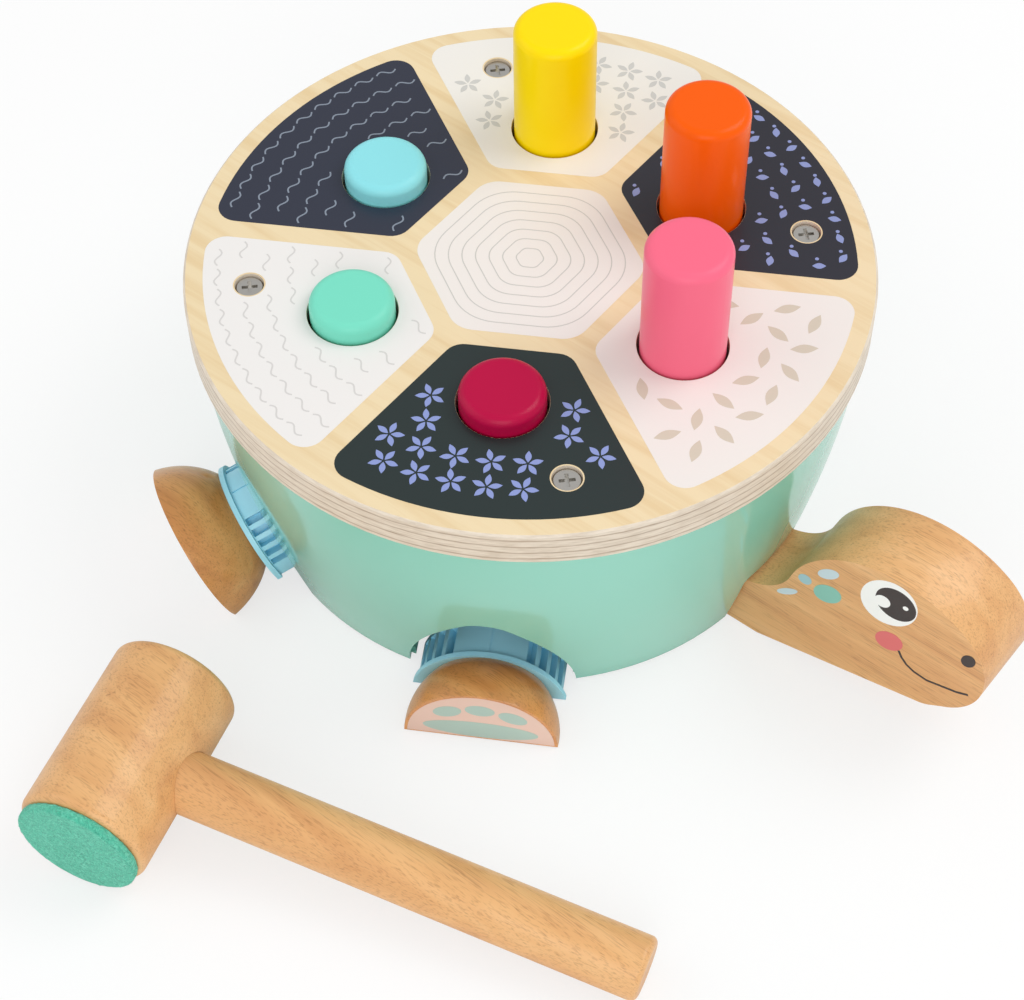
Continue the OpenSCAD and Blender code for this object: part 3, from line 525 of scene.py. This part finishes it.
for sideName, sign in (("near", -1), ("far", 1)):
    place = Matrix(((1, 0, 0, 0), (0, 0, sign, sign * face["side"] * mm), (0, 1, 0, 0), (0, 0, 0, 1)))
    bm = bmesh.new()
    for key, level, outline in faceShapes:
        top = ink["thick"] + face["layer"] * level
        addShape(bm, [outline], ink["under"], top, place, paintOrder.index(key))
    newPiece("face_" + sideName, bm, list(facePaint.values()), "head_bar_body")

print("paws")
# toe is the foot's face from the body's axis in mid slide; pads are shares of the face's radius and height
paw = {"skin": (0.93, 0.80, 0.74), "pad": (0.70, 0.80, 0.76), "rough": 0.4, "edge": 0.9, "lowEdge": 0.6,
       "toe": 100.5, "lift": 0.4, "steps": 40, "soleUp": 0.23, "sole": (0.78, 0.18), "toePad": (0.2, 0.12),
       "toePads": ((-0.44, 0.60, 0.35), (0, 0.70, 0), (0.44, 0.60, -0.35))}
pawSkin = newMaterial("pawSkin", paw["skin"], paw["rough"])
pawPad = newMaterial("pawPad", paw["pad"], paw["rough"])
frontFoot = {"rake": 0, "rise": 0, "r": 22.7}
rearFoot = {"rake": 20, "rise": 10.8, "r": 25.5}
feet = [
    {"name": "front_right", "az": 300, "slid": 6, "body": "right_bar_body", **frontFoot},
    {"name": "rear_right", "az": 240, "slid": 6, "body": "left_bar_body", **rearFoot},
    {"name": "front_left", "az": 60, "slid": -6, "body": "left_bar_body", **frontFoot},
    {"name": "rear_left", "az": 120, "slid": -6, "body": "right_bar_body", **rearFoot},
]


# the foot's face: raked about its lower edge, slid out or in, then turned to its azimuth
def pawPlace(foot):
    lift = paw["lift"] * mm
    upright = Matrix(((0, 0, 1, 0), (1, 0, 0, 0), (0, 1, 0, -lift), (0, 0, 0, 1)))
    slid = Matrix.Translation(((paw["toe"] + foot["slid"]) * mm, 0, lift))
    turn = Matrix.Rotation(math.radians(foot["az"]), 4, "Z")
    return turn @ slid @ Matrix.Rotation(math.radians(foot["rake"]), 4, "Y") @ upright


# round of the foot's face above a flat lower edge
def pawOutline(r, rise):
    low = paw["lift"] + paw["edge"] * paw["lowEdge"]
    start = math.asin((low - rise) / r)
    angles = [start + (math.pi - 2 * start) * k / paw["steps"] for k in range(paw["steps"] + 1)]
    return [(r * math.cos(a), rise + r * math.sin(a)) for a in angles]


for foot in feet:
    place = pawPlace(foot)
    r = foot["r"] - paw["edge"]
    h = foot["rise"] + r
    bm = bmesh.new()
    addShape(bm, [pawOutline(r, foot["rise"])], ink["under"], ink["thick"], place)
    pads = [ellipse(0, h * paw["soleUp"], r * paw["sole"][0], h * paw["sole"][1], 0)]
    for u, v, turn in paw["toePads"]:
        pads.append(ellipse(u * r, v * h, r * paw["toePad"][0], h * paw["toePad"][1], turn))
    for outline in pads:
        addShape(bm, [outline], 0, ink["second"], place, 1)
    newPiece("paw_" + foot["name"], bm, [pawSkin, pawPad], foot["body"])

print("stage")
stage = {"half": 3.0, "tone": (0.97, 0.97, 0.97), "rough": 0.9, "glow": 0.7}
floorMesh = bpy.data.meshes.new("floor")
bm = bmesh.new()
signs = ((-1, -1), (1, -1), (1, 1), (-1, 1))
bm.faces.new([bm.verts.new((x * stage["half"], y * stage["half"], 0)) for x, y in signs])
bm.to_mesh(floorMesh)
bm.free()
floor = bpy.data.objects.new("floor", floorMesh)
bpy.context.scene.collection.objects.link(floor)


# the floor glows for the camera alone, so that it looks pale and the glow lights nothing
def floorMaterial():
    material = newMaterial("floorLook", stage["tone"], stage["rough"], specular=0.0)
    glow = addNode(material, "ShaderNodeEmission")
    path = addNode(material, "ShaderNodeLightPath")
    share = addNode(material, "ShaderNodeMath", operation="MULTIPLY")
    share.inputs[1].default_value = stage["glow"]
    blend = addNode(material, "ShaderNodeMixShader")
    join(material, path.outputs["Is Camera Ray"], share.inputs[0])
    join(material, share.outputs[0], blend.inputs["Fac"])
    join(material, shaderOf(material).outputs["BSDF"], blend.inputs[1])
    join(material, glow.outputs["Emission"], blend.inputs[2])
    join(material, blend.outputs["Shader"], material.node_tree.nodes["Material Output"].inputs["Surface"])
    return material


floorMesh.materials.append(floorMaterial())

print("light and camera")
world = bpy.data.worlds.new("studio")
bpy.context.scene.world = world
world.use_nodes = True
sky = {"color": (1, 1, 1, 1), "strength": 0.62}
background = world.node_tree.nodes["Background"]
background.inputs["Color"].default_value = sky["color"]
background.inputs["Strength"].default_value = sky["strength"]
lamps = [
    {"name": "key", "at": (0.55, 0.75, 1.3), "size": 0.9, "power": 8.6},
    {"name": "front", "at": (0.75, -1.1, 0.75), "size": 1.0, "power": 6.2},
    {"name": "fill", "at": (-0.9, -0.7, 0.8), "size": 1.2, "power": 3.0},
]
for lamp in lamps:
    data = bpy.data.lights.new(lamp["name"], "AREA")
    data.size = lamp["size"]
    data.energy = lamp["power"]
    light = bpy.data.objects.new(lamp["name"], data)
    light.location = lamp["at"]
    light.rotation_euler = (-Vector(lamp["at"])).to_track_quat("-Z", "Y").to_euler()
    bpy.context.scene.collection.objects.link(light)

# camera fitted to the photograph: place in metres, axes, lens and sensor in millimetres
view = {"at": (0.28728, -0.36585, 0.58736), "right": (0.78446, 0.62005, -0.01259),
        "up": (-0.48657, 0.62792, 0.60743), "ahead": (-0.38454, 0.47038, -0.79427),
        "lens": 82.37, "sensor": 36, "shift": (0.00865, -0.00411)}
camera = bpy.data.objects.new("camera", bpy.data.cameras.new("camera"))
bpy.context.scene.collection.objects.link(camera)
rows = [[view["right"][i], view["up"][i], -view["ahead"][i], view["at"][i]] for i in range(3)]
camera.matrix_world = Matrix(rows + [[0, 0, 0, 1]])
camera.data.lens = view["lens"]
camera.data.sensor_width = view["sensor"]
camera.data.shift_x, camera.data.shift_y = view["shift"]
bpy.context.scene.camera = camera
bpy.context.scene.view_settings.view_transform = "Standard"
